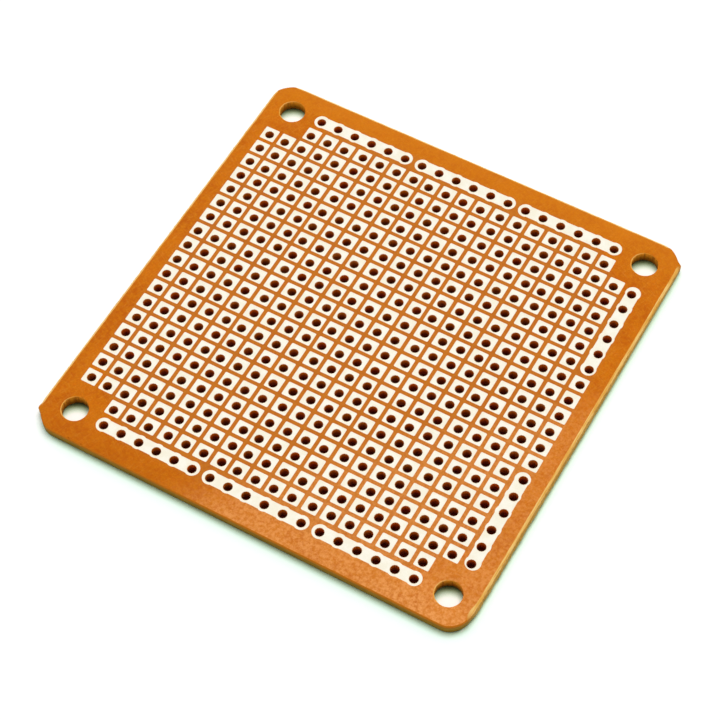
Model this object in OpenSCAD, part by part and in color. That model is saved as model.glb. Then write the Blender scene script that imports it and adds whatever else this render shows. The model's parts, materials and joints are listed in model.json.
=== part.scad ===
// Prototype board: a punched sheet of brown phenolic paper with a grid of lead holes,
// a separate square copper pad round each hole and eight copper strips near the edges.
// The copper side is up, the bare side rests on z = 0, and the origin is under the middle.

/* [Board] */
// Thickness of the laminate sheet
board_t = 1.5; // [1.1:0.1:2.4]
// From the outermost holes to the left and right edges
rim_x = 3.31; // [2.6:0.01:8]
// From the outermost holes to the front and back edges
rim_y = 3.78; // [2.6:0.01:8]
// Turn of the left and right edges out of square, in degrees
edge_skew = 0.4; // [0:0.05:0.8]

/* [Scored edges] */
// Depth of the V groove scored into each face before the board is snapped off
score_depth = 0.25; // [0.1:0.05:0.55]
// Full angle of the V groove, in degrees
score_angle = 90; // [30:5:90]

/* [Lead holes] */
// Pitch of the lead hole grid
pitch = 2.54; // [2.3:0.01:4]
// Diameter of a lead hole
lead_hole_d = 1.17; // [0.6:0.01:1.4]
// Sideways slip of the lead holes against the copper pattern
lead_slip_x = 0.02; // [-0.15:0.01:0.15]
// Front to back slip of the lead holes against the copper pattern
lead_slip_y = -0.15; // [-0.15:0.01:0.15]
// Half of the sideways step between the holes of two punch strokes
stroke_step_x = 0.12; // [0:0.01:0.15]
// Half of the front to back step between the holes of two punch strokes
stroke_step_y = 0.07; // [0:0.01:0.15]

/* [Copper] */
// Thickness of the copper foil
copper_t = 0.035; // [0.018:0.001:0.105]
// Clear gap between two neighbouring pads
pad_gap = 0.5; // [0.3:0.01:0.6]
// Radius of an etched pad corner
pad_corner_r = 0.15; // [0.05:0.05:0.4]
// Width of copper that each round strip land adds to the bar on either side
land_proud = 0.12; // [0.05:0.01:0.2]
// Width of the bar that joins the lands of a strip
bar_w = 1.78; // [1.5:0.02:2]

/* [Corners] */
// Diameter of a corner fixing hole
fixing_hole_d = 3.4; // [2.5:0.1:4.2]
// From a fixing hole's middle to the left or right edge
fixing_inset_x = 3.98; // [3.2:0.01:5]
// From a fixing hole's middle to the front or back edge
fixing_inset_y = 4.05; // [3.2:0.01:5]
// How much further the rounded corner lies from the fixing hole than an edge does
corner_reach = 0.25; // [0.15:0.05:0.5]
// Sideways slip of the fixing holes and the rounded corners against the edges
corner_slip_x = 0.06; // [-0.1:0.01:0.1]
// Front to back slip of the fixing holes and the rounded corners against the edges
corner_slip_y = -0.05; // [-0.1:0.01:0.1]

/* [Hidden] */
holes_per_side = 22;
corner_gap = 2;
strip_holes = 6;
punch_block = 4;
last = holes_per_side - 1;
board_w = last * pitch + 2 * rim_x;
board_d = last * pitch + 2 * rim_y;
pad_size = pitch - pad_gap;
land_d = bar_w + 2 * land_proud;
corner_r = max(fixing_inset_x, fixing_inset_y) + corner_reach;
score_half_w = score_depth * tan(score_angle / 2);
past = 1;
$fn = 48;

// Columns count from the left and rows from the front, both from 0 to last.
function row_name(row) = str("pad_row_", row < 10 ? "0" : "", row);

// Middle of a grid place, where the copper round a hole is drawn
function place(col, row) = [col - last / 2, row - last / 2] * pitch;

// The four corners of the grid have no lead holes: a gap of corner_gap rows and columns in each
function in_end(n) = n < corner_gap || n > last - corner_gap;
function has_hole(col, row) = !(in_end(col) && in_end(row));

// Number, along an edge, of the strip that a row or column belongs to
function strip_of(n) = floor((n - corner_gap) / strip_holes);

// First row or column of a strip
function strip_start(n) = corner_gap + n * strip_holes;

// The right-hand column has a strip at each end and square pads in between
function has_pad(col, row) = has_hole(col, row) && (col < last || strip_of(row) == 1);

// The field is punched in blocks, and two strokes of the tool take turns like a chessboard
function block_of(n) = floor((min(max(n, 1), last - 1) - 1) / punch_block);
function stroke(col, row) = (block_of(col) + block_of(row)) % 2 == 1 ? 1 : -1;

// The front and back rows and both ends of the left column come from a third stroke
function in_end_block(row) = block_of(row) == 0 || block_of(row) == block_of(last);
function third_stroke(col, row) = row == 0 || row == last || (col == 0 && in_end_block(row));

// How far a hole's stroke puts it from the mean of all the strokes
function stroke_step(col, row) =
    third_stroke(col, row)
        ? [0, stroke_step_y]
        : stroke(col, row) * [stroke_step_x, stroke_step_y];

// Middle of a lead hole
function hole_place(col, row) =
    place(col, row) + [lead_slip_x, lead_slip_y] + stroke_step(col, row);

// Middle of the fixing hole in the corner given by two signs
function fixing_place(side_x, side_y) = [
    side_x * (board_w / 2 - fixing_inset_x) + corner_slip_x,
    side_y * (board_d / 2 - fixing_inset_y) + corner_slip_y
];

// Corner of the board before its corners are rounded, with the left and right edges skewed
function blank_corner(side_x, side_y) =
    [side_x * board_w / 2 + side_y * board_d / 2 * tan(edge_skew), side_y * board_d / 2];

module lead_hole(col, row) {
    translate(hole_place(col, row))
        circle(d = lead_hole_d);
}

module fixing_hole(side_x, side_y) {
    translate(fixing_place(side_x, side_y))
        circle(d = fixing_hole_d);
}

// What the corner punch removes: a corner square outside an arc about the fixing hole
module corner_waste(side_x, side_y) {
    reach = corner_r + past;
    translate(fixing_place(side_x, side_y))
        difference() {
            translate([side_x > 0 ? 0 : -reach, side_y > 0 ? 0 : -reach])
                square(reach);
            circle(r = corner_r);
        }
}

// Plan of the laminate with every hole
module laminate_plan() {
    difference() {
        polygon([
            blank_corner(-1, -1),
            blank_corner(1, -1),
            blank_corner(1, 1),
            blank_corner(-1, 1),
        ]);
        for (side_x = [-1, 1], side_y = [-1, 1])
            corner_waste(side_x, side_y);
        for (side_x = [-1, 1], side_y = [-1, 1])
            fixing_hole(side_x, side_y);
        for (col = [0 : last], row = [0 : last])
            if (has_hole(col, row))
                lead_hole(col, row);
    }
}

// Half of the V groove in the upper face, along an edge that lies on the local Y axis
module score(edge_length) {
    run = [score_half_w, -score_depth];
    lip = [-score_half_w, board_t];
    rotate([90, 0, 0])
        linear_extrude(edge_length + 2 * past, center = true)
            polygon([lip - run, lip + 2 * run, [lip.x + 2 * run.x, lip.y - run.y]]);
}

// Both grooves of an edge, the lower one a mirror image of the upper
module scored_edge(edge_length) {
    score(edge_length);
    translate([0, 0, board_t])
        mirror([0, 0, 1])
            score(edge_length);
}

module laminate() {
    color("#d2761e")
        difference() {
            linear_extrude(board_t)
                laminate_plan();
            translate([board_w / 2, 0, 0])
                rotate(-edge_skew)
                    scored_edge(board_d);
            translate([-board_w / 2, 0, 0])
                rotate(180 - edge_skew)
                    scored_edge(board_d);
            translate([0, board_d / 2, 0])
                rotate(90)
                    scored_edge(board_w);
        }
}

// Lifts a copper pattern onto the laminate and gives it the foil's thickness
module foil() {
    color("#f6efdf")
        translate([0, 0, board_t])
            linear_extrude(copper_t)
                children();
}

module pad_shape() {
    straight = pad_size - 2 * pad_corner_r;
    square([pad_size, straight], center = true);
    square([straight, pad_size], center = true);
    for (x = [-1, 1], y = [-1, 1])
        translate([x, y] * straight / 2)
            circle(r = pad_corner_r);
}

// One row of separate square pads, each pierced by its own lead hole
module pad_row(row) {
    foil()
        for (col = [0 : last])
            if (has_pad(col, row))
                difference() {
                    translate(place(col, row))
                        pad_shape();
                    lead_hole(col, row);
                }
}

// A strip of round lands joined by a bar, from its first hole in steps of one grid place
module strip(first_col, first_row, step) {
    run = (strip_holes - 1) * pitch;
    foil()
        difference() {
            union() {
                translate(place(first_col, first_row) - [step.y, step.x] * bar_w / 2)
                    square([max(step.x * run, bar_w), max(step.y * run, bar_w)]);
                for (n = [0 : strip_holes - 1])
                    translate(place(first_col + n * step.x, first_row + n * step.y))
                        circle(d = land_d);
            }
            for (n = [0 : strip_holes - 1])
                lead_hole(first_col + n * step.x, first_row + n * step.y);
        }
}

module strip_back_left() { strip(strip_start(0), last, [1, 0]); }
module strip_back_middle() { strip(strip_start(1), last, [1, 0]); }
module strip_back_right() { strip(strip_start(2), last, [1, 0]); }
module strip_front_left() { strip(strip_start(0), 0, [1, 0]); }
module strip_front_middle() { strip(strip_start(1), 0, [1, 0]); }
module strip_front_right() { strip(strip_start(2), 0, [1, 0]); }
module strip_right_back() { strip(last, strip_start(2), [0, 1]); }
module strip_right_front() { strip(last, strip_start(0), [0, 1]); }

laminate();
strip_back_left();
strip_back_middle();
strip_back_right();
strip_front_left();
strip_front_middle();
strip_front_right();
strip_right_back();
strip_right_front();
for (row = [1 : last - 1])
    pad_row(row);
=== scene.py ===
# %% [markdown]
# # A punched prototype board
#
# The real thing is a sheet of brown phenolic paper, 60 mm square and 1.5 mm thick, with tinned
# copper on one face: 420 square pads and eight strips, pierced by 468 round lead holes. The
# sheet was scored along three edges, snapped off a larger panel, and its corners were punched.
#
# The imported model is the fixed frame. Every piece below is made in the same frame, in place.

# %% Load the frame
import json

import bpy
import numpy as np
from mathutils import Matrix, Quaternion, Vector
from mathutils.geometry import delaunay_2d_cdt


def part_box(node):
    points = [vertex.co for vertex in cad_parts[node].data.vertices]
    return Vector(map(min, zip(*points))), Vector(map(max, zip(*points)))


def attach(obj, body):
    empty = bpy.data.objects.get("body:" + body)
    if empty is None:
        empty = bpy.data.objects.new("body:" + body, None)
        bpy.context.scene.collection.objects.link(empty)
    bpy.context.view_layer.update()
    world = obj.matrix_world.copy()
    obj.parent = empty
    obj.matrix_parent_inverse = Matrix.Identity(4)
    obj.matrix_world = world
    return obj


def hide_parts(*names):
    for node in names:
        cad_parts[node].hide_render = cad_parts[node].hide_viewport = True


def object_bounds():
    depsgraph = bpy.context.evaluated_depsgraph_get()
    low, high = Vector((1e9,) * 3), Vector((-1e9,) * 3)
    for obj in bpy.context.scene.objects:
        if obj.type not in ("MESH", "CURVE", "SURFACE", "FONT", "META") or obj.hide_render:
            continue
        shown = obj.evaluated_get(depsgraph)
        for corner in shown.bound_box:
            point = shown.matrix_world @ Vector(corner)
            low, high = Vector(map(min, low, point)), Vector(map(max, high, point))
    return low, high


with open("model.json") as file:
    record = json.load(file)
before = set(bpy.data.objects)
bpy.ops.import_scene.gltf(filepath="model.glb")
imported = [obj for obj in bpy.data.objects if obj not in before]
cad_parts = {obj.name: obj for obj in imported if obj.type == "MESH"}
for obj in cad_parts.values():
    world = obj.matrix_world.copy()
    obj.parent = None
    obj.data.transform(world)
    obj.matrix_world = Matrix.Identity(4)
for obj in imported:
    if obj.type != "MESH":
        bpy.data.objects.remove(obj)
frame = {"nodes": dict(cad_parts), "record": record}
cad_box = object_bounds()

MM = 0.001
print("CAD box in mm:", [[round(v / MM, 3) for v in corner] for corner in cad_box])

# %% [markdown]
# ## Where the lead holes are
#
# The holes were punched after the copper was etched, in blocks of four by four, and no stroke
# of the tool landed exactly on the copper pattern. Their places could be worked out again from
# those strokes. They are read off the frame's copper instead, so that they always agree with it.

# %% Read the holes from the copper
PITCH = 2.54
RIM_REACH = 0.86


def copper_plan(name):
    """Plan places, in mm, of all the corners of a CAD node's triangles."""
    mesh = frame["nodes"][name].data
    points = np.empty(len(mesh.vertices) * 3)
    mesh.vertices.foreach_get("co", points)
    return points.reshape(-1, 3)[:, :2] / MM


def holes_in(name):
    """Grid places, hole middles and hole radii in a copper node.

    A corner is on a rim when it lies within RIM_REACH of the nearest grid place. The middle of
    a hole is the middle of the box round its rim, and its radius is half of that box's side.
    """
    plan = copper_plan(name)
    grid = (np.floor(plan / PITCH) + 0.5) * PITCH
    near = np.hypot(*(plan - grid).T) < RIM_REACH
    grid_places, which = np.unique(np.round(grid[near], 4), axis=0, return_inverse=True)
    which = which.ravel()
    low, high = np.full_like(grid_places, np.inf), np.full_like(grid_places, -np.inf)
    np.minimum.at(low, which, plan[near])
    np.maximum.at(high, which, plan[near])
    return grid_places, (low + high) / 2, (high - low).max(axis=1) / 2


copper_holes = {name: holes_in(name) for name in sorted(frame["nodes"]) if name != "laminate"}
lead_holes = np.concatenate([middles for _, middles, _ in copper_holes.values()])
rim_radii = np.concatenate([radii for _, _, radii in copper_holes.values()])
lead_radius = float(np.median(rim_radii))
print(len(lead_holes), "lead holes of", round(2 * lead_radius, 3), "mm")

# %% [markdown]
# ## A sheet with holes, from profiles carried along paths
#
# Laminate and foil are both flat sheets with shaped edges. A boolean cut would give ragged
# triangles. Here every edge is a wall: a short profile, from the upper face down to the lower,
# carried round a closed path, as one array of loops x steps x points round x 3. Only the two
# flat faces between the walls are filled by triangulation.

# %% Rings and walls


def ring(middles, radii, count):
    """Points clockwise round holes: middle + radius * (cos t, -sin t), with t once round.

    middles is (loops, 2) and radii is (steps, 1), (steps, count) or (loops, steps, count).
    Returns (loops, steps, count, 2).
    """
    angle = np.arange(count) * 2 * np.pi / count
    way = np.stack([np.cos(angle), -np.sin(angle)], axis=-1)
    radii = np.broadcast_to(radii, (len(middles), np.shape(radii)[-2], count))
    return middles[:, None, None, :] + radii[..., None] * way


def true_area(radius, count):
    """Radius at which a regular polygon of count sides has the area of the circle."""
    return radius * np.sqrt(2 * np.pi / (count * np.sin(2 * np.pi / count)))


def wall(plan, heights):
    """Puts heights, one for each step, under a plan of points (loops, steps, count, 2)."""
    heights = np.broadcast_to(np.asarray(heights, float)[:, None], plan.shape[:-1])
    return np.concatenate([plan, heights[..., None]], axis=-1)


print("a twelve-sided hole has its corners at", round(true_area(1, 12), 4), "of its radius")

# %% Flat faces between the walls


def flat_fill(points, loops):
    """Triangles between closed loops of a flat face, by constrained Delaunay triangulation.

    Each loop is given as a face, turned left if its area, half the sum of x * next y minus
    y * next x, is negative. A triangle inside one loop is sheet, and inside two it is hole.
    """
    order = np.concatenate(loops)
    plan = points[order, :2]
    ends = np.cumsum([len(loop) for loop in loops])
    rings = []
    for part in np.split(np.arange(len(order)), ends[:-1]):
        x, y = plan[part].T
        area = np.sum(x * np.roll(y, -1) - y * np.roll(x, -1))
        rings.append((part if area > 0 else part[::-1]).tolist())
    _, _, triangles, _, _, inside = delaunay_2d_cdt(
        [Vector(p) for p in plan.tolist()], [], rings, 1, 1e-7, True
    )
    sheet_only = [len(owners) == 1 for owners in inside]
    return order[np.array(triangles)[sheet_only]]


unit = np.array([(0, 0), (1, 0), (1, 1), (0, 1)], float)
print("a square is filled by", len(flat_fill(unit, [np.arange(4)])), "triangles")

# %% The plate
SHARP_FROM = np.radians(32)


def plate(name, walls, marks):
    """One closed solid from its walls, with a flat face filled above and below.

    Quads join each step of a wall to the next and each point round to the next. marks holds,
    for each named attribute, one array of values for each wall.
    """
    points = np.concatenate([w.reshape(-1, 3) for w in walls])
    quads, upper, lower, first = [], [], [], 0
    for shape in [w.shape[:3] for w in walls]:
        index = first + np.arange(np.prod(shape)).reshape(shape)
        first += index.size
        after = np.roll(index, -1, axis=2)
        corners = [index[:, :-1], index[:, 1:], after[:, 1:], after[:, :-1]]
        quads.append(np.stack(corners, axis=-1).reshape(-1, 4))
        upper += list(index[:, 0])
        lower += list(index[:, -1])
    faces = np.concatenate(quads).tolist() + flat_fill(points, upper).tolist()
    faces += flat_fill(points, lower)[:, ::-1].tolist()
    mesh = bpy.data.meshes.new(name)
    mesh.from_pydata((points * MM).tolist(), [], faces)
    mesh.polygons.foreach_set("use_smooth", np.ones(len(faces), bool))
    mesh.set_sharp_from_angle(angle=SHARP_FROM)
    for mark, values in marks.items():
        spread = [np.broadcast_to(v, w.shape[:3]).ravel() for v, w in zip(values, walls)]
        attribute = mesh.attributes.new(mark, "FLOAT", "POINT")
        attribute.data.foreach_set("value", np.concatenate(spread).astype(np.float32))
    mesh.update()
    piece = bpy.data.objects.new(name, mesh)
    bpy.context.scene.collection.objects.link(piece)
    return piece


UNMARKED = np.zeros((1, 1))
print("edges sharper than", round(np.degrees(SHARP_FROM)), "degrees stay crisp")

# %% [markdown]
# Nothing punched or torn is quite even. A modifier that displaces a mesh would need far more
# points. Instead a few dozen waves of chance length are added up along the path itself, so the
# unevenness closes on itself where the path does.

# %% Uneven lines


def ripple(along, up, turns, waves, seed, lean=6.0):
    """Uneven height that repeats round a closed path, about -1 to 1.

    A sum of waves, each the sine of a whole number of turns along the path, plus a random
    slope up the wall, plus a random start. turns is the least and the most turns of a wave.
    """
    chance = np.random.default_rng(seed)
    number = np.rint(np.exp(chance.uniform(*np.log(turns), waves)))
    slope = chance.normal(0, lean, waves)
    start = chance.uniform(0, 2 * np.pi, waves)
    total = np.zeros(np.broadcast(along, up).shape)
    for n, s, b in zip(number, slope, start):
        total += np.sin(2 * np.pi * n * along + s * up + b)
    return total / np.sqrt(2 * waves)


one_turn = ripple(np.linspace(0, 1, 500), 0.0, (4, 40), 30, seed=1)
print("a ripple spans", one_turn.min().round(2), "to", one_turn.max().round(2))

# %% [markdown]
# ## The outline of the sheet
#
# Three edges are scored: a V groove was milled into both faces and the board was snapped off,
# which leaves two bevels and a torn web between them. The front edge and the corners were
# punched, so they stand upright. The outline is four straight lines and four arcs about the
# fixing holes, with a kink wherever an arc meets a line, as the punch really leaves it.

# %% Lines and corner middles
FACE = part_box("laminate")[1].z / MM
FOIL = cad_box[1].z / MM
HALF_W, HALF_D = 29.98, 30.45
SKEW = np.radians(0.4)
CORNER_R = 4.3

line_angle = np.radians([-90, 0, 90, 180]) - [0, SKEW, 0, SKEW]
line_out = np.stack([np.cos(line_angle), np.sin(line_angle)], axis=-1)
line_reach = np.array([HALF_D, HALF_W * np.cos(SKEW), HALF_D, HALF_W * np.cos(SKEW)])
scored = np.array([False, True, True, True])

mounts = frame["record"]["mounts"]
fixing = np.array([m["pos_m"][:2] for m in mounts if m["name"].startswith("fixing_hole_")]) / MM
print("fixing holes at", fixing.round(2).tolist())

# %% The path round the sheet
STATION = 0.15


def outline():
    """The outline as points in mm, turning left, and the way out of the sheet at each point.

    A line holds the points whose distance along its way out is its reach. A corner's arc runs
    from the line before to the line after: it meets a line where the cosine of the angle
    between its radius and the line's way out is the line's distance over the arc's radius.
    """
    arcs = []
    for before, after in ((0, 1), (1, 2), (2, 3), (3, 0)):
        side = np.sign(line_out[before] + line_out[after])
        middle = fixing[np.argmax(fixing @ side)]
        turn = [
            np.arccos((line_reach[k] - middle @ line_out[k]) / CORNER_R) for k in (before, after)
        ]
        start = line_angle[before] + turn[0]
        end = line_angle[after] + (2 * np.pi if after == 0 else 0) - turn[1]
        angle = np.linspace(start, end, int(np.ceil((end - start) * CORNER_R / STATION)) + 1)
        arcs.append(middle + CORNER_R * np.stack([np.cos(angle), np.sin(angle)], axis=-1))
    path = []
    for arc, following in zip(arcs, arcs[1:] + arcs[:1]):
        gap = following[0] - arc[-1]
        steps = int(np.ceil(np.hypot(*gap) / STATION))
        path += [arc, arc[-1] + gap * (np.arange(1, steps) / steps)[:, None]]
    path = np.concatenate(path)
    run = np.roll(path, -1, axis=0) - np.roll(path, 1, axis=0)
    out = np.stack([run[:, 1], -run[:, 0]], axis=-1)
    return path, out / np.linalg.norm(out, axis=1)[:, None]


sharp_edge, edge_out = outline()
print(len(sharp_edge), "points round the outline")

# %% [markdown]
# Handling wears the kinks round. A fillet would need to know each of them. A blur along the path
# finds them all: it leaves a straight line alone and rounds only what turns. The upper and lower
# faces are worn a little everywhere, and the front right corner, which was knocked, much more.

# %% Worn corners
WORN = 0.4
KNOCK, KNOCK_REACH, KNOCK_WORN = (29.8, -27.2), 2.6, 1.3


def softened(path, reach):
    """A closed path with its kinks worn round: each point becomes the mean of its neighbours,
    weighted by a bell curve of this reach in mm, worked out on the path's frequencies."""
    turns = np.fft.fftfreq(len(path))[:, None] * reach / STATION
    return np.fft.ifft(np.fft.fft(path, axis=0) * np.exp(-2 * (np.pi * turns) ** 2), axis=0).real


def near(path, place, reach):
    """How near each point of a path is to a place: exp(-(distance / reach)^2)."""
    return np.exp(-np.square((path - place) / reach).sum(axis=1))


knocked = near(sharp_edge, KNOCK, KNOCK_REACH)[:, None]
edge = sharp_edge + knocked * (softened(sharp_edge, KNOCK_WORN) - sharp_edge)
worn_edge = softened(edge, WORN)
print("a kink moves by up to", np.linalg.norm(worn_edge - sharp_edge, axis=1).max().round(3), "mm")

# %% [markdown]
# ## The profile of the edge
#
# On a scored edge the profile goes down the upper bevel, over the torn web and back under. On a
# punched edge it goes over a small rolled lip and straight down. Both are one profile: how much
# of the groove a point of the outline has is worked out from its distance to the scored line, so
# the groove runs out over the corner arcs by itself.

# %% How much groove each point has
SCORE_DEEP, SCORE_WIDE = 0.25, 0.25
LIP = 0.08

groove = np.zeros(len(edge))
inward = np.zeros_like(edge)
for k in np.flatnonzero(scored):
    part = np.clip(SCORE_WIDE - (line_reach[k] - edge @ line_out[k]), 0, SCORE_WIDE)
    groove += part
    inward -= part[:, None] * line_out[k]
share = (groove / SCORE_WIDE)[:, None]
inward -= LIP * (1 - share) * edge_out
depth = (groove * SCORE_DEEP / SCORE_WIDE)[:, None] + LIP * (1 - share)
print("points with a full groove:", int((share > 0.999).sum()))

# %% The profile, step by step
BEVEL_IN = np.array([1.35, 1.15, 0.8, 0.45, 0.1, 0.0])
BEVEL_DOWN = np.array([0.0, 0.07, 0.28, 0.58, 0.95, 1.25])
WEB = np.linspace(0, 1, 8)[1:-1]
BEVEL = len(BEVEL_IN)


def mirrored(bevel, web):
    """Values down the wall: the upper bevel's, the web's, and the bevel's again in reverse."""
    return np.concatenate([bevel, web, bevel[::-1]])


inset = mirrored(BEVEL_IN, 0 * WEB)
deepest = depth * BEVEL_DOWN[-1]
web_height = (FACE - deepest) + (2 * deepest - FACE) * WEB
edge_height = np.concatenate(
    [FACE - depth * BEVEL_DOWN, web_height, depth * BEVEL_DOWN[::-1]], axis=1
).T
along = np.arange(len(edge)) / len(edge)
print("the wall goes down in", len(inset), "steps")

# %% [markdown]
# Paper tears in layers. Coarse and fine ripples push the web in and out, and they lean with the
# height, so neighbouring layers break at different places. The lower half bulges, because the
# board was bent downwards as it snapped. At two corners a nub of web was left standing.

# %% The torn web
BELLY = 0.16
COARSE_OUT, FINE_OUT = 0.05, 0.04
NUBS = ((29.84, 28.3), (-29.83, -28.2))
NUB_OUT, NUB_REACH = 0.34, 0.45

torn = mirrored(np.array([0, 0, 0, 0.1, 0.3, 0.7]), np.ones(len(WEB)))[:, None]
coarse = ripple(along[None], edge_height, (40, 500), 70, seed=3, lean=5)
fine = ripple(along[None], edge_height, (400, 1100), 70, seed=4, lean=14)
belly = mirrored(np.zeros(BEVEL), np.sin(np.pi * WEB**1.7))[:, None]
rough = (torn * (COARSE_OUT * coarse + FINE_OUT * fine) + BELLY * belly) * share.T
nub = sum(near(edge, place, NUB_REACH) for place in NUBS)
rough = rough + NUB_OUT * torn * nub
print("the web stands out by up to", rough.max().round(2), "mm")

# %% [markdown]
# A punched edge is cleaner, but the paper still breaks away a little before the punch is through,
# and the lips of every edge wander by a few hundredths. The knocked corner has lost a flake of
# skin, and two chips are missing from the front edge near the left.

# %% The broken foot, the wandering lips and the flake
BROKEN, WANDER = 0.05, 0.02
FLAKE, FLAKE_REACH = (29.6, -27.3), 0.9
FLAKE_IN = np.array([0.24, 0.2, 0.08, 0.02] + [0] * (len(inset) - 4))[:, None]

shear = np.concatenate([np.zeros(BEVEL), np.linspace(0, 1, len(WEB)), np.ones(BEVEL)])[:, None]
broken = BROKEN * shear * (0.5 + 0.5 * fine) * (1 - share.T)
lips = np.isin(np.arange(len(inset)), (0, 1, 2, len(inset) - 2, len(inset) - 1))[:, None]
wander = WANDER * np.abs(ripple(along, 0.0, (30, 300), 50, seed=5)) * lips
flake = near(edge, FLAKE, FLAKE_REACH)

edge_plan = worn_edge + (torn * share.T)[..., None] * (edge - worn_edge)
edge_plan = edge_plan + inset[:, None, None] * inward
edge_plan = edge_plan + (rough - broken - wander - FLAKE_IN * flake)[..., None] * edge_out
print("the wall is", edge_plan.shape[0], "steps by", edge_plan.shape[1], "points")

# %% The two chips
CHIPS = ((-24.37, 0.16), (-22.57, 0.13))
CHIP_IN = np.array([0.9, 1.0, 0.9, 0.7, 0.4, 0.2] + [0] * (len(inset) - BEVEL))[:, None]
CHIP_DOWN = np.array([0, 0.8, 0.9, 0.8, 0.5, 0.1] + [0] * (len(inset) - BEVEL))[:, None]

on_front = np.exp(-np.square((edge[:, 1] + HALF_D) / 0.05))
for x, size in CHIPS:
    chip = size * on_front * np.exp(-np.square((edge[:, 0] - x) / size))
    edge_plan = edge_plan + (CHIP_IN * chip)[..., None] * np.array([0, 1])
    edge_height = edge_height - CHIP_DOWN * chip
low, high = (np.array(corner[:2]) / MM for corner in cad_box)
edge_plan = np.clip(edge_plan, low, high)
edge_points = np.concatenate([edge_plan, edge_height[..., None]], axis=-1)[None]
print("the outer wall spans", np.ptp(edge_plan.reshape(-1, 2), axis=0).round(3).tolist(), "mm")

# %% [markdown]
# Two marks go with the wall. "raw" says how bare the paper's fibres lie, and "cut" says that a
# place isn't skin. The material reads both, so colour and shape always change together.

# %% Marks on the outer wall
edge_raw = mirrored(np.array([0, 1, 1, 1, 0.9, 0.6]), 0.35 + 0 * WEB)[:, None] * share.T
edge_raw[1:4] = np.maximum(edge_raw[1:4], 0.3 * flake)
edge_raw[BEVEL:-BEVEL] = np.maximum(edge_raw[BEVEL:-BEVEL], 0.5 * nub)
edge_cut = np.concatenate([[0], np.ones(len(inset) - 2), [0]])[:, None]
print("barest place:", edge_raw.max().round(2))

# %% [markdown]
# ## Walls of the holes
#
# Each hole was punched from the copper side. A lead hole's wall is plain, and at the bare face it
# breaks out into a slightly wider, uneven mouth. Round a fixing hole the resin is crushed into a
# narrow pale ring, widest on one side where the tool leant, and upright ripples run down the
# wall. A lead hole is repeated hundreds of times, so it gets few points.

# %% Lead holes
LEAD_POINTS = 12


def lead_walls():
    """Walls of all lead holes: radius = hole + widening + chance, for each step down.

    Also returns the marks: how raw and how bored each step is, and how narrow each hole looks.
    """
    steps = np.array([FACE, FACE - 0.01, FACE - 0.3, 0.1, 0.0])
    wider = np.array([0.0, 0.0, 0.0, 0.02, 0.075])[:, None]
    uneven = np.array([0.0, 0.0, 0.0, 0.012, 0.035])[:, None]
    dice = np.random.default_rng(11)
    chance = dice.normal(0, 1, (len(lead_holes), len(steps), LEAD_POINTS))
    scuff = (dice.uniform(0, 1, len(lead_holes)) ** 2)[:, None, None]
    narrow = dice.uniform(0.5, 1.0, len(lead_holes))[:, None, None]
    radii = true_area(lead_radius, LEAD_POINTS) + wider + uneven * np.clip(chance, -1.5, 1.5)
    bored = np.array([0.0, 1.0, 1.0, 1.0, 0.0])[:, None]
    raw = np.array([0.0, 0.0, 0.0, 0.2, 0.3])[:, None]
    raw = raw + np.array([0.0, 0.5, 0.2, 0.0, 0.0])[:, None] * scuff
    return wall(ring(lead_holes, radii, LEAD_POINTS), steps), raw, bored, narrow


lead_points, lead_raw, lead_bored, lead_narrow = lead_walls()
print(lead_points.shape[0], "lead holes of", (lead_points.shape[1] - 1) * LEAD_POINTS, "quads")

# %% Fixing holes
FIXING_R = 1.7
FIXING_POINTS = 96
LEAN_TO = np.radians(205)


def fixing_walls():
    """Walls of the fixing holes: radius = hole + crushed ring or mouth + ripples.

    The crushed ring is widest where the tool leant: 0.5 + 0.5 cos(angle + LEAN_TO), as angles
    run clockwise here.
    """
    steps = np.array([FACE, FACE - 0.008, FACE - 0.03, FACE - 0.085, 1.0, 0.55, 0.12, 0.05, 0.0])
    wider = np.array([0.12, 0.09, 0.04, 0.0, 0.0, 0.0, 0.012, 0.05, 0.10])[:, None]
    uneven = np.array([0.015, 0.015, 0.012, 0.015, 0.022, 0.022, 0.03, 0.035, 0.035])[:, None]
    turn = np.arange(FIXING_POINTS) / FIXING_POINTS
    ridges = np.stack(
        [
            ripple(turn[None], steps[:, None], (4, 36), 40, seed=20 + k, lean=0.8)
            for k in range(len(fixing))
        ]
    )
    leaning = 0.5 + 0.5 * np.cos(2 * np.pi * turn + LEAN_TO)
    crushed = np.where(steps[:, None] > 1.0, 0.15 + 1.1 * leaning, 1.0)
    radii = FIXING_R + wider * crushed + uneven * ridges
    raw = np.array([0.0, 0.7, 0.7, 0.15, 0.0, 0.0, 0.0, 0.1, 0.0])[:, None] * leaning
    bored = np.array([0.0, 0.2, 0.5, 1.0, 1.0, 1.0, 1.0, 0.8, 0.0])[:, None]
    return wall(ring(fixing, radii, FIXING_POINTS), steps), raw, bored


fixing_points, fixing_raw, fixing_bored = fixing_walls()
print(len(fixing_points), "fixing holes of", FIXING_POINTS, "points round")

# %% The finished sheet
sheet = plate(
    "laminate_sheet",
    [edge_points, fixing_points, lead_points],
    {
        "raw": [edge_raw, fixing_raw, lead_raw],
        "cut": [edge_cut, UNMARKED, UNMARKED],
        "bored": [UNMARKED, fixing_bored, lead_bored],
        "narrow": [UNMARKED, UNMARKED, lead_narrow],
    },
)
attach(sheet, "root")
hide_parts("laminate")
print("sheet:", sum(len(p.vertices) - 2 for p in sheet.data.polygons), "triangles")

# %% [markdown]
# ## The copper
#
# The foil was etched, so every outline has a sloping edge, wider at its foot, where the acid
# bit sideways. The punch then pressed the rim of each hole down a little, most on the side
# towards the front. A pad is an outer wall and an inner wall joined by a flat top.

# %% Foil with pressed rims
ETCH = 0.045
RIM_PRESSED = 0.10
RIM_TINNED_OFF = 0.8


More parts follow.
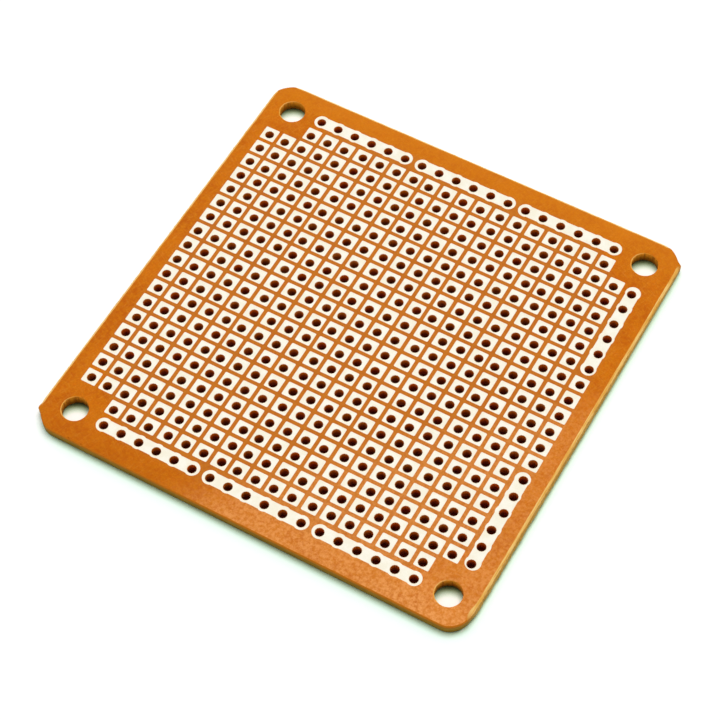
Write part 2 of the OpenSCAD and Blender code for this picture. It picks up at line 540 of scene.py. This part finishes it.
def inset_path(path, by):
    """Moves every point of a closed path that turns left inwards by a distance."""
    ahead = np.roll(path, -1, axis=-2) - path
    behind = path - np.roll(path, 1, axis=-2)
    run = ahead / np.linalg.norm(ahead, axis=-1)[..., None]
    run = run + behind / np.linalg.norm(behind, axis=-1)[..., None]
    run = run / np.linalg.norm(run, axis=-1)[..., None]
    return path + by * np.stack([-run[..., 1], run[..., 0]], axis=-1)


def foil_piece(name, paths, middles):
    """Copper from outer paths (loops, points, 2) and the middles of its holes.

    The upper rim of a hole lies outside the hole by RIM_PRESSED * (0.4 + 0.6 * to_front), where
    to_front is 0.5 + 0.5 sin(angle), as angles run clockwise here.
    """
    outer = np.stack([inset_path(paths, ETCH), paths], axis=1)
    radius = true_area(lead_radius, LEAD_POINTS)
    to_front = 0.5 + 0.5 * np.sin(np.arange(LEAD_POINTS) * 2 * np.pi / LEAD_POINTS)
    shoulder = radius + RIM_PRESSED * (0.4 + 0.6 * to_front)
    inner = ring(middles, np.stack([shoulder, np.full(LEAD_POINTS, radius)]), LEAD_POINTS)
    walls = [wall(outer, (FOIL, FACE)), wall(inner, (FOIL, FACE))]
    etched_edge = [np.array([[0.0], [1.0]]), np.array([[0.0], [RIM_TINNED_OFF]])]
    pressed = [UNMARKED, np.array([[0.0], [1.0]]) * (0.3 + 0.7 * to_front)]
    piece = plate(name, walls, {"edge": etched_edge, "pressed": pressed})
    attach(piece, "root")
    return piece


print("an outline is", round(2 * ETCH, 3), "mm narrower at the top of the foil than at its foot")

# %% Pads
PAD = 2.04
PAD_CORNER = 0.15


def pad_paths(grid_places):
    """Square paths (loops, 12, 2): the middle of each corner's arc plus three points along it."""
    corner = np.arange(12) // 3
    diagonal = np.pi / 4 + np.pi / 2 * corner
    angle = np.pi / 4 * (np.arange(12) % 3) + np.pi / 2 * corner
    base = np.stack([np.cos(diagonal), np.sin(diagonal)], axis=-1)
    rounded = PAD_CORNER * np.stack([np.cos(angle), np.sin(angle)], axis=-1)
    return grid_places[:, None] + (PAD / 2 - PAD_CORNER) * np.sqrt(2) * base + rounded


foils = []
for name, (grid_places, middles, _) in copper_holes.items():
    if name.startswith("pad_row"):
        piece = foil_piece(name.replace("pad_row", "tinned_pads"), pad_paths(grid_places), middles)
        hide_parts(name)
        foils.append(piece)
print(len(foils), "rows of pads, each pad", round(PAD - 2 * ETCH, 2), "mm across its flat top")

# %% [markdown]
# A strip is made as a pad is, with a longer outer path. At each place along it, its half-width
# is the larger of the bar's and the nearest round land's, so only the arcs that stand proud of
# the bar need points.

# %% Strips
BAR = 1.78
LAND = 2.02
STRIP_HOLES = 6
ARC_POINTS, END_POINTS = 7, 15


def strip_path():
    """Half the outline of a strip along its own length, mirrored to close it.

    Half-width = the larger of half the bar and the height of the nearest land's circle. Half
    circles take the place of the outer halves of the first and the last land.
    """
    land_r, bar_r = LAND / 2, BAR / 2
    swell = np.sqrt(land_r**2 - bar_r**2)
    bulge = np.linspace(-1, 1, ARC_POINTS) * np.arctan2(swell, bar_r)
    lands = (np.arange(STRIP_HOLES) * PITCH)[:, None]
    across = lands + land_r * np.sin(bulge)
    half = np.broadcast_to(land_r * np.cos(bulge), across.shape)
    past_end = ARC_POINTS // 2 + 1
    side = np.stack([across.ravel(), half.ravel()], axis=-1)[past_end:-past_end]
    turn = np.linspace(0, np.pi, END_POINTS)
    length = (STRIP_HOLES - 1) * PITCH
    near_end = land_r * np.stack([-np.sin(turn), np.cos(turn)], axis=-1)
    far_end = [length, 0] - near_end
    return np.concatenate([near_end, side * [1, -1], far_end, side[::-1]])


for name, (grid_places, middles, _) in copper_holes.items():
    if name.startswith("strip"):
        first, last = grid_places.min(axis=0), grid_places.max(axis=0)
        way = (last - first) / np.linalg.norm(last - first)
        path = strip_path() @ np.array([way, [-way[1], way[0]]]) + first
        piece = foil_piece(name.replace("strip", "tinned_strip"), path[None], middles)
        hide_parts(name)
        foils.append(piece)
print(len(foils), "pieces of copper")

# %% [markdown]
# ## Materials
#
# A finish starts from what it is. Colours are written as they look, in sRGB hex, and one
# function turns them into the linear numbers that the shader works with. One function adds a
# node, so each material reads as a list of what feeds what. Noise scales come from real sizes.

# %% Colours and nodes


def linear(hex_colour):
    """sRGB hex to linear: below 0.04045 divide by 12.92, above it ((c + 0.055) / 1.055)^2.4."""
    c = np.array([int(hex_colour[i : i + 2], 16) for i in (1, 3, 5)]) / 255
    c = np.where(c <= 0.04045, c / 12.92, ((c + 0.055) / 1.055) ** 2.4)
    return (*c.tolist(), 1.0)


def per_mm(size):
    """Scale of a noise on metres: 1 / size, for blotches this many millimetres across."""
    return 1 / (size * MM)


def node(tree, kind, inputs=(), out=0, **settings):
    """Adds a node with its settings, and gives each input a value or a link.

    inputs is a list in the order of the sockets, or a dict from their names or numbers.
    Returns the output that is asked for, or None where a node has no outputs.
    """
    made = tree.nodes.new("ShaderNode" + kind)
    for key, value in settings.items():
        setattr(made, key, value)
    for key, value in inputs.items() if isinstance(inputs, dict) else enumerate(inputs):
        if isinstance(value, bpy.types.NodeSocket):
            tree.links.new(value, made.inputs[key])
        else:
            made.inputs[key].default_value = value
    return made.outputs[out] if made.outputs else None


def new_material(name):
    """A new material and its empty node tree."""
    material = bpy.data.materials.new(name)
    material.use_nodes = True
    material.node_tree.nodes.clear()
    return material, material.node_tree


print("pale copper in linear light:", [round(c, 3) for c in linear("#F0B98C")[:3]])

# %% [markdown]
# Three kinds of node come up again and again. A Mix lays a second colour over a first: its
# inputs are 0, how much of the second, then 6 and 7, the two colours. A Map Range takes a value,
# the range it comes from and the range it goes to, which is 0 to 1 unless stated, and is smooth
# at both ends here. A Math node takes its numbers in order.

# %% Settings that repeat
LAY_OVER = {"data_type": "RGBA", "out": 2}
SMOOTH = {"interpolation_type": "SMOOTHSTEP"}
TIMES, PLUS = {"operation": "MULTIPLY"}, {"operation": "ADD"}
LARGER = {"operation": "MAXIMUM"}
print("settings:", LAY_OVER, SMOOTH, TIMES, PLUS, LARGER)

# %% [markdown]
# ### Phenolic paper
#
# Layers of kraft paper are soaked in brown resin and pressed between steel plates. The eye sees
# a deep orange brown with a low sheen, faint clouds where the resin lies thicker, and short
# paper fibres just under the skin. Where the sheet is scored or torn the fibres lie bare, pale
# and matt, in layers about a tenth of a millimetre thick.
#
# Clouds and grain are plain noise. The fibres are noise drawn out to eight times its width and
# turned two ways, for the two ways in which the paper's layers lie.

# %% Patterns in the laminate
CLOUD, GRAIN, SPECK, FIBRE, LAYER, SCRATCH = 3.2, 0.55, 0.24, 0.16, 0.12, 0.3
DRAWN_OUT = (1.0, 0.12, 1.0)

phenolic, tree = new_material("pressed_phenolic_paper")
spot = node(tree, "TexCoord", out="Object")
clouds = node(tree, "TexNoise", {"Vector": spot, "Scale": per_mm(CLOUD), "Detail": 3.0})
grain = {"Vector": spot, "Scale": per_mm(GRAIN), "Detail": 2.0, "Roughness": 0.6}
grain = node(tree, "TexNoise", grain)
specks = node(tree, "TexNoise", {"Vector": spot, "Scale": per_mm(SPECK), "Detail": 1.0})
fibres = 0.0
for degrees, thinnest in ((22, 0.56), (-58, 0.58)):
    turned = {"Vector": spot, "Angle": np.radians(degrees)}
    turned = node(tree, "VectorRotate", turned, rotation_type="Z_AXIS")
    drawn = node(tree, "VectorMath", [turned, DRAWN_OUT], **TIMES)
    fibre = node(tree, "TexNoise", {"Vector": drawn, "Scale": per_mm(FIBRE), "Detail": 1.0})
    fibre = node(tree, "MapRange", [fibre, thinnest, thinnest + 0.16], **SMOOTH)
    fibres = node(tree, "Math", [fibres, fibre], **LARGER)
print("patterns of", CLOUD, "to", FIBRE, "mm from", len(tree.nodes), "nodes")

# %% [markdown]
# The walls have patterns of their own. The paper's layers are noise stretched flat, so it
# changes only with the height, and the scratches of the punch are noise stretched upright.

# %% Patterns in the walls, and marks
flat = node(tree, "VectorMath", [spot, (0.05, 0.05, 1.0)], **TIMES)
layers = node(tree, "TexNoise", {"Vector": flat, "Scale": per_mm(LAYER)})
upright = node(tree, "VectorMath", [spot, (1.0, 1.0, 0.08)], **TIMES)
scratches = node(tree, "TexNoise", {"Vector": upright, "Scale": per_mm(SCRATCH)})

raw, cut, bored, narrow = (
    node(tree, "Attribute", out="Fac", attribute_name=mark)
    for mark in ("raw", "cut", "bored", "narrow")
)
axes = node(tree, "SeparateXYZ", [spot]).node.outputs
upper = node(tree, "MapRange", [axes["Z"], 0.7 * MM, 0.8 * MM], **SMOOTH)
print("the laminate now has", len(tree.nodes), "nodes")

# %% Skin
cloudy = node(tree, "MapRange", [clouds, 0.3, 0.7], **SMOOTH)
skin = node(tree, "Mix", {0: cloudy, 6: linear("#C46002"), 7: linear("#D87408")}, **LAY_OVER)
grainy = node(tree, "MapRange", [grain, 0.3, 0.7, 0.0, 0.8], **SMOOTH)
skin = node(tree, "Mix", {0: grainy, 6: skin, 7: linear("#D67A0E")}, **LAY_OVER)
under_skin = node(tree, "Math", [fibres, 0.22], **TIMES)
skin = node(tree, "Mix", {0: under_skin, 6: skin, 7: linear("#E8993A")}, **LAY_OVER)
speckled = node(tree, "MapRange", [specks, 0.36, 0.64, 0.0, 0.26], **SMOOTH)
skin = node(tree, "Mix", {0: speckled, 6: skin, 7: linear("#B45406")}, **LAY_OVER)
print("the laminate now has", len(tree.nodes), "nodes")

# %% [markdown]
# Between the pads the resin was roughened by the etching bath, so it looks duller and less
# orange there. That field has eight sides: its size at a place is the largest of |X|, |Y| and
# 0.605 (|X| + |Y|).

# %% The etched field
ETCHED = 27.2 * MM, 28.2 * MM

across = node(tree, "Math", [axes["X"]], operation="ABSOLUTE")
along_y = node(tree, "Math", [axes["Y"]], operation="ABSOLUTE")
slanted = node(tree, "Math", [node(tree, "Math", [across, along_y], **PLUS), 0.605], **TIMES)
field = node(tree, "Math", [node(tree, "Math", [across, along_y], **LARGER), slanted], **LARGER)
etched = node(tree, "MapRange", [field, *ETCHED, 0.42, 0.0], **SMOOTH)
etched = node(tree, "Math", [etched, upper], **TIMES)
skin = node(tree, "Mix", {0: etched, 6: skin, 7: linear("#BE7632")}, **LAY_OVER)
print("the etching bath reached", round(ETCHED[1] / MM, 1), "mm from the middle")

# %% [markdown]
# Towards the front right corner the skin is painted paler and a little pink, in small blotches:
# a painted sheen, standing in for the reflection of a soft light in the resin. It is strongest
# along the front edge and at the very corner. How far a place lies towards that corner is
# 0.69 X - 0.72 Y.

# %% The painted sheen at the front right corner
BLOTCH = 0.45
SHEEN_FROM = 13 * MM

to_right = node(tree, "Math", [axes["X"], 0.69], **TIMES)
to_back = node(tree, "Math", [axes["Y"], 0.72], **TIMES)
to_corner = node(tree, "Math", [to_right, to_back], operation="SUBTRACT")
blotches = {"Vector": spot, "Scale": per_mm(BLOTCH), "Detail": 4.0, "Roughness": 0.7}
blotches = node(tree, "TexNoise", blotches)
blotches = node(tree, "MapRange", [blotches, 0.34, 0.70, 0.25, 1.15], **SMOOTH)
front = node(tree, "MapRange", [axes["Y"], -30.2 * MM, -24 * MM, 0.74, 0.40], **SMOOTH)
tip = node(tree, "MapRange", [to_corner, 32 * MM, 36 * MM, 0.0, 0.16], **SMOOTH)
# Painted sheen: how strongly the pale pink reflection is laid over the skin.
painted_sheen = node(tree, "MapRange", [to_corner, SHEEN_FROM, 21 * MM], **SMOOTH)
for factor in (blotches, node(tree, "Math", [front, tip], **PLUS), upper):
    painted_sheen = node(tree, "Math", [painted_sheen, factor], **TIMES)
skin = node(tree, "Mix", {0: painted_sheen, 6: skin, 7: linear("#F8A65C")}, **LAY_OVER)
print("rubbed blotches are about", BLOTCH, "mm across")

# %% [markdown]
# The front margin is painted darker, apart from the sheen painted at the corner: painted shade.
# The back margin is painted paler: a painted sheen, as the far side catches light at a grazing
# angle.

# %% Painted shade in front, painted sheen behind
MARGIN, BRIM = 24 * MM, 30 * MM

# Painted shade along the front margin.
painted_front_shade = node(tree, "MapRange", [axes["Y"], -BRIM, -MARGIN, 0.2, 0.0], **SMOOTH)
away_from_sheen = node(tree, "MapRange", [to_corner, SHEEN_FROM, 19 * MM, 1.0, 0.0], **SMOOTH)
painted_front_shade = node(tree, "Math", [painted_front_shade, away_from_sheen], **TIMES)
skin = node(tree, "Mix", {0: painted_front_shade, 6: skin, 7: linear("#B45A04")}, **LAY_OVER)
# Painted sheen along the back margin.
painted_back_sheen = node(tree, "MapRange", [axes["Y"], MARGIN, BRIM, 0.0, 0.4], **SMOOTH)
skin = node(tree, "Mix", {0: painted_back_sheen, 6: skin, 7: linear("#DE8416")}, **LAY_OVER)
print("the margins change over", round((BRIM - MARGIN) / MM, 1), "mm")

# %% [markdown]
# Cut paper takes its colour from how it was cut. Scored paper is pale. A punched edge is dark
# and greenish; near the top, where it rolls over, it is painted lighter orange, a painted light
# on the rounded lip. A hole's wall is painted light and shade: a painted glow near the upper
# face, as of light coming through the skin round it, darkening towards the bottom. In a narrow
# hole the painted light is redder, as the light there has touched its walls again and again.

# %% Paper in the walls, with painted light at the top
streaks = node(tree, "MapRange", [layers, 0.35, 0.65], **SMOOTH)
scored_paper = {0: streaks, 6: linear("#EFB04C"), 7: linear("#FFD480")}
scored_paper = node(tree, "Mix", scored_paper, **LAY_OVER)
wall_paper_with_lip_light = {0: streaks, 6: linear("#926C18"), 7: linear("#A88028")}
wall_paper_with_lip_light = node(tree, "Mix", wall_paper_with_lip_light, **LAY_OVER)
# Painted light: the top of a punched wall is lighter orange, standing in for light on the rounded
# lip.
painted_lip_light = node(tree, "MapRange", [axes["Z"], 0.75 * MM, 1.4 * MM], **SMOOTH)
wall_paper_with_lip_light = node(tree, "Mix", {0: painted_lip_light, 6: wall_paper_with_lip_light, 7: linear("#CE7612")}, **LAY_OVER)
print("the laminate now has", len(tree.nodes), "nodes")

# %% Paper in the holes, with painted light and shade
# Painted light and shade: a hole's wall is bright near the upper face and dark towards the bottom.
painted_glow_near_face = node(tree, "MapRange", [axes["Z"], 0.3 * MM, 1.45 * MM], **SMOOTH)
shaded_hole_paper = {0: painted_glow_near_face, 6: linear("#9C6206"), 7: linear("#FFA820")}
shaded_hole_paper = node(tree, "Mix", shaded_hole_paper, **LAY_OVER)
scratched = node(tree, "MapRange", [scratches, 0.45, 0.65, 0.0, 0.6], **SMOOTH)
shaded_hole_paper = node(tree, "Mix", {0: scratched, 6: shaded_hole_paper, 7: linear("#985004")}, **LAY_OVER)
# Painted light in the narrow lead holes: redder, as of light bounced off their walls.
narrow_hole_painted_light = {0: painted_glow_near_face, 6: linear("#A41400"), 7: linear("#FF8608")}
narrow_hole_painted_light = node(tree, "Mix", narrow_hole_painted_light, **LAY_OVER)
shaded_hole_paper = node(tree, "Mix", {0: narrow, 6: shaded_hole_paper, 7: narrow_hole_painted_light}, **LAY_OVER)
print("the laminate now has", len(tree.nodes), "nodes")

# %% The laminate's shader
colour = skin
for mark, paper in ((cut, wall_paper_with_lip_light), (bored, shaded_hole_paper), (raw, scored_paper)):
    colour = node(tree, "Mix", {0: mark, 6: colour, 7: paper}, **LAY_OVER)

off_skin = node(tree, "Math", [node(tree, "Math", [raw, cut], **LARGER), bored], **LARGER)
skin_rough = node(tree, "MapRange", [grain, 0.3, 0.7, 0.40, 0.52], **SMOOTH)
matt = node(tree, "Math", [off_skin, 0.35], **TIMES)
relief = node(tree, "Math", [grain, 0.6], **TIMES)
layered = node(tree, "Math", [layers, off_skin], **TIMES)
for height, weight in ((fibres, 0.4), (layered, 4.0)):
    relief = node(tree, "Math", [height, weight, relief], operation="MULTIPLY_ADD")
bump = node(tree, "Bump", {"Strength": 0.6, "Distance": 0.012 * MM, "Height": relief})
shader = {
    "Base Color": colour,
    "Roughness": node(tree, "Math", [skin_rough, matt], **PLUS),
    "Normal": bump,
    "IOR": 1.5,
    "Specular IOR Level": 0.12,
}
node(tree, "OutputMaterial", [node(tree, "BsdfPrincipled", shader)])
sheet.data.materials.append(phenolic)
print(phenolic.name, "has", len(tree.nodes), "nodes")

# %% [markdown]
# ### Tinned copper
#
# The etched foil was dipped in molten tin, which leaves a thin pale skin, slightly warm, matt
# enough that the whole pad looks evenly light. The tin thins towards the etched edges, so a trace
# of copper shows through there. The tan tint on the pressed rims of the holes, strongest on the
# side towards the front, is a painted reflection: tilted down, those rims would mirror the
# duller surroundings low down.

# %% Tin on copper
BLOOM, PIT = 1.3, 0.18

tin, tin_tree = new_material("hot_tinned_copper")
tin_spot = node(tin_tree, "TexCoord", out="Object")
bloom = {"Vector": tin_spot, "Scale": per_mm(BLOOM), "Detail": 3.0}
bloom = node(tin_tree, "TexNoise", bloom)
pits = {"Vector": tin_spot, "Scale": per_mm(PIT), "Detail": 2.0, "Roughness": 0.6}
pits = node(tin_tree, "TexNoise", pits)
warmer = node(tin_tree, "MapRange", [bloom, 0.35, 0.65], **SMOOTH)
metal = {0: warmer, 6: linear("#FFFBEC"), 7: linear("#FBF5E2")}
metal = node(tin_tree, "Mix", metal, **LAY_OVER)
pitted = node(tin_tree, "MapRange", [pits, 0.6, 0.75, 0.0, 0.25], **SMOOTH)
metal = node(tin_tree, "Mix", {0: pitted, 6: metal, 7: linear("#EDE2C8")}, **LAY_OVER)
# Copper at the etched edges; on the pressed rims, a painted reflection.
for mark, how_strong, copper in (("edge", 0.55, "#F0B98C"), ("pressed", 0.5, "#E8CF9A")):
    thin_tin_and_rim_reflection = node(tin_tree, "Attribute", out="Fac", attribute_name=mark)
    thin_tin_and_rim_reflection = node(tin_tree, "Math", [thin_tin_and_rim_reflection, how_strong], **TIMES)
    metal = node(tin_tree, "Mix", {0: thin_tin_and_rim_reflection, 6: metal, 7: linear(copper)}, **LAY_OVER)
print("the tin's bloom is", BLOOM, "mm across and its pits", PIT, "mm")

# %% The tin's shader
tin_shader = {
    "Base Color": metal,
    "Metallic": 1.0,
    "Roughness": node(tin_tree, "MapRange", [bloom, 0.3, 0.7, 0.42, 0.55], **SMOOTH),
    "Normal": node(tin_tree, "Bump", {"Strength": 0.5, "Distance": 0.004 * MM, "Height": pits}),
}
node(tin_tree, "OutputMaterial", [node(tin_tree, "BsdfPrincipled", tin_shader)])
for piece in foils:
    piece.data.materials.append(tin)
print(tin.name, "has", len(tin_tree.nodes), "nodes")

# %% [markdown]
# ## Floor, light and camera
#
# A white sheet lies under the board, inside a white tent. The board hides much of the sky from
# the card close to it, and each part of the card gets a painted shadow over the real one, darker
# the more is hidden: a narrow, slightly green painted shadow along the front edge and in the
# fixing holes, and a painted dark red shade in the lead holes. Those three need a card each, so
# the floor is a grid of 25 rectangles that share their corners: 16 lie outside the board, four
# small ones under the fixing holes and five under the lead holes.

# %% Floor
FLOOR_DROP = 0.03
UNDER = 29.4
FAR = 4000.0
FIELD = 23.0

lines = np.array([-FAR, -UNDER, -FIELD, FIELD, UNDER, FAR])
floor_x, floor_y = np.meshgrid(lines, lines)
floor_points = np.stack([floor_x, floor_y, np.full(floor_x.shape, -FLOOR_DROP)], axis=-1)
index = np.arange(len(lines) ** 2).reshape(len(lines), -1)
tiles = np.stack([index[:-1, :-1], index[:-1, 1:], index[1:, 1:], index[1:, :-1]], axis=-1)
depth_in = np.array([0, 1, 2, 1, 0])
least, most = np.minimum.outer(depth_in, depth_in), np.maximum.outer(depth_in, depth_in)
card_of = np.where(least == 0, 0, most)
floor_mesh = bpy.data.meshes.new("floor")
floor_mesh.from_pydata(
    (floor_points.reshape(-1, 3) * MM).tolist(), [], tiles.reshape(-1, 4).tolist()
)
floor = bpy.data.objects.new("floor", floor_mesh)
bpy.context.scene.collection.objects.link(floor)
print("rectangles of each card:", np.bincount(card_of.ravel()).tolist())

# %% [markdown]
# A card's painted shadow is read from a ramp, from how much of the sky it sees one way. A faint
# glow, only for what is seen straight, mirrored or through glass, keeps the card white without
# putting more light on the board. It grows with the distance, because the lamp reaches less far.

# %% White card
SKY_REACH = 6 * MM
GLOW_FROM, GLOW_TO = 0.12, 0.6
FLOOR_GLOW, FAR_GLOW = 0.14, 0.7


def seen_rays(tree):
    """One for rays straight from the camera, off a mirror or through glass, else zero."""
    rays = node(tree, "LightPath").node.outputs
    straight_or_mirrored = [rays["Is Camera Ray"], rays["Is Glossy Ray"]]
    seen = node(tree, "Math", straight_or_mirrored, **LARGER)
    return node(tree, "Math", [seen, rays["Is Transmission Ray"]], **LARGER)


def white_card(name, towards, samples, stops):
    """White card with a painted shadow, darker the more of the sky one way the board covers."""
    material, card_tree = new_material(name)
    way = node(card_tree, "CombineXYZ", towards)
    sky = {"Distance": SKY_REACH, "Normal": way}
    sky = node(card_tree, "AmbientOcclusion", sky, out="AO", samples=samples)
    # Painted shadow: the card's colour darkens where the board hides the sky.
    painted_shadow = node(card_tree, "ValToRGB", [sky])
    ramp = painted_shadow.node.color_ramp.elements
    for place, _ in stops[1:-1]:
        ramp.new(place)
    for stop, (place, hex_colour) in zip(ramp, stops):
        stop.position = place
        stop.color = linear(hex_colour)
    spot = node(card_tree, "TexCoord", out="Object")
    away = node(card_tree, "VectorMath", [spot], out="Value", operation="LENGTH")
    glow = [away, GLOW_FROM, GLOW_TO, FLOOR_GLOW, FAR_GLOW]
    glow = node(card_tree, "MapRange", glow, **SMOOTH)
    glow = node(card_tree, "Math", [seen_rays(card_tree), glow], **TIMES)
    paper = node(card_tree, "BsdfDiffuse", {"Color": painted_shadow})
    lit = node(card_tree, "Emission", {"Color": painted_shadow, "Strength": glow})
    node(card_tree, "OutputMaterial", [node(card_tree, "AddShader", [paper, lit])])
    floor_mesh.materials.append(material)
    print(name, "has", len(stops), "tints")


# %% [markdown]
# The open floor looks back and up for its shadow, because the lamp stands behind the board. The
# fixing holes look back at a low angle, so that only the foot of the far wall darkens the card.
# The lead holes look straight up: so little light gets down them that the card takes the red of
# their walls.

# %% The three cards
white_card(
    "white_card_floor",
    (-0.45, 0.6, 0.65),
    16,
    (
        (0.25, "#1C0800"),
        (0.36, "#BCCCA0"),
        (0.40, "#C4DABC"),
        (0.444, "#D0EAD4"),
        (0.49, "#DBFAE7"),
        (0.54, "#E6FEF0"),
        (0.62, "#F0FFF8"),
        (0.92, "#FFFFFF"),
    ),
)
white_card(
    "white_card_in_holes",
    (-0.5, 0.85, 0.15),
    128,
    (
        (0.43, "#2C2008"),
        (0.445, "#586038"),
        (0.46, "#82946C"),
        (0.48, "#A2B292"),
        (0.50, "#BACAB2"),
        (0.524, "#D6E3CE"),
        (0.545, "#EAF5E4"),
        (0.58, "#FFFFFA"),
    ),
)
white_card("white_card_in_lead_holes", (0, 0, 1), 8, ((0.0, "#2C0600"), (0.5, "#7A2008")))
floor_mesh.polygons.foreach_set("material_index", card_of.ravel())

# %% [markdown]
# The tent is white to the eye and to metal, and gives a third of that as light. One large lamp
# behind the board gives the rest.

# %% World
TENT_LIGHT = 0.33

world = bpy.data.worlds.new("white_tent")
bpy.context.scene.world = world
world.use_nodes = True
sky_tree = world.node_tree
sky_tree.nodes.clear()
tent = node(sky_tree, "Math", [seen_rays(sky_tree), TENT_LIGHT], **LARGER)
tent = node(sky_tree, "Background", {"Color": (1, 1, 1, 1), "Strength": tent})
node(sky_tree, "OutputWorld", [tent])
print("the tent has", len(sky_tree.nodes), "nodes")

# %% Lamp
lamp_data = bpy.data.lights.new("window_lamp", "AREA")
lamp_data.shape = "SQUARE"
lamp_data.size = 0.5
lamp_data.energy = 4.15
lamp = bpy.data.objects.new("window_lamp", lamp_data)
lamp.location = (0.0, 0.168, 0.73)
lamp.rotation_euler = (-lamp.location).to_track_quat("-Z", "Y").to_euler()
lamp.visible_glossy = False
bpy.context.scene.collection.objects.link(lamp)
print("the lamp hangs", round(lamp.location.length, 2), "m from the board")

# %% Camera
LENS, SENSOR = 106.956, 36
DISTANCE = 0.265434

azimuth, elevation, roll = np.radians([31.414, 57.866, -2.334])
target = Vector((1.302, -3.546, FOIL)) * MM
back = Vector(
    (
        np.sin(azimuth) * np.cos(elevation),
        -np.cos(azimuth) * np.cos(elevation),
        np.sin(elevation),
    )
)
lens = bpy.data.cameras.new("camera")
lens.sensor_width = SENSOR
lens.lens = LENS
lens.clip_start = 0.01
camera = bpy.data.objects.new("camera", lens)
camera.location = target + back * DISTANCE
camera.rotation_mode = "QUATERNION"
camera.rotation_quaternion = (-back).to_track_quat("-Z", "Y") @ Quaternion((0, 0, 1), roll)
bpy.context.scene.collection.objects.link(camera)
bpy.context.scene.camera = camera
bpy.context.scene.view_settings.view_transform = "Standard"
print("camera at", [round(v, 4) for v in camera.location])
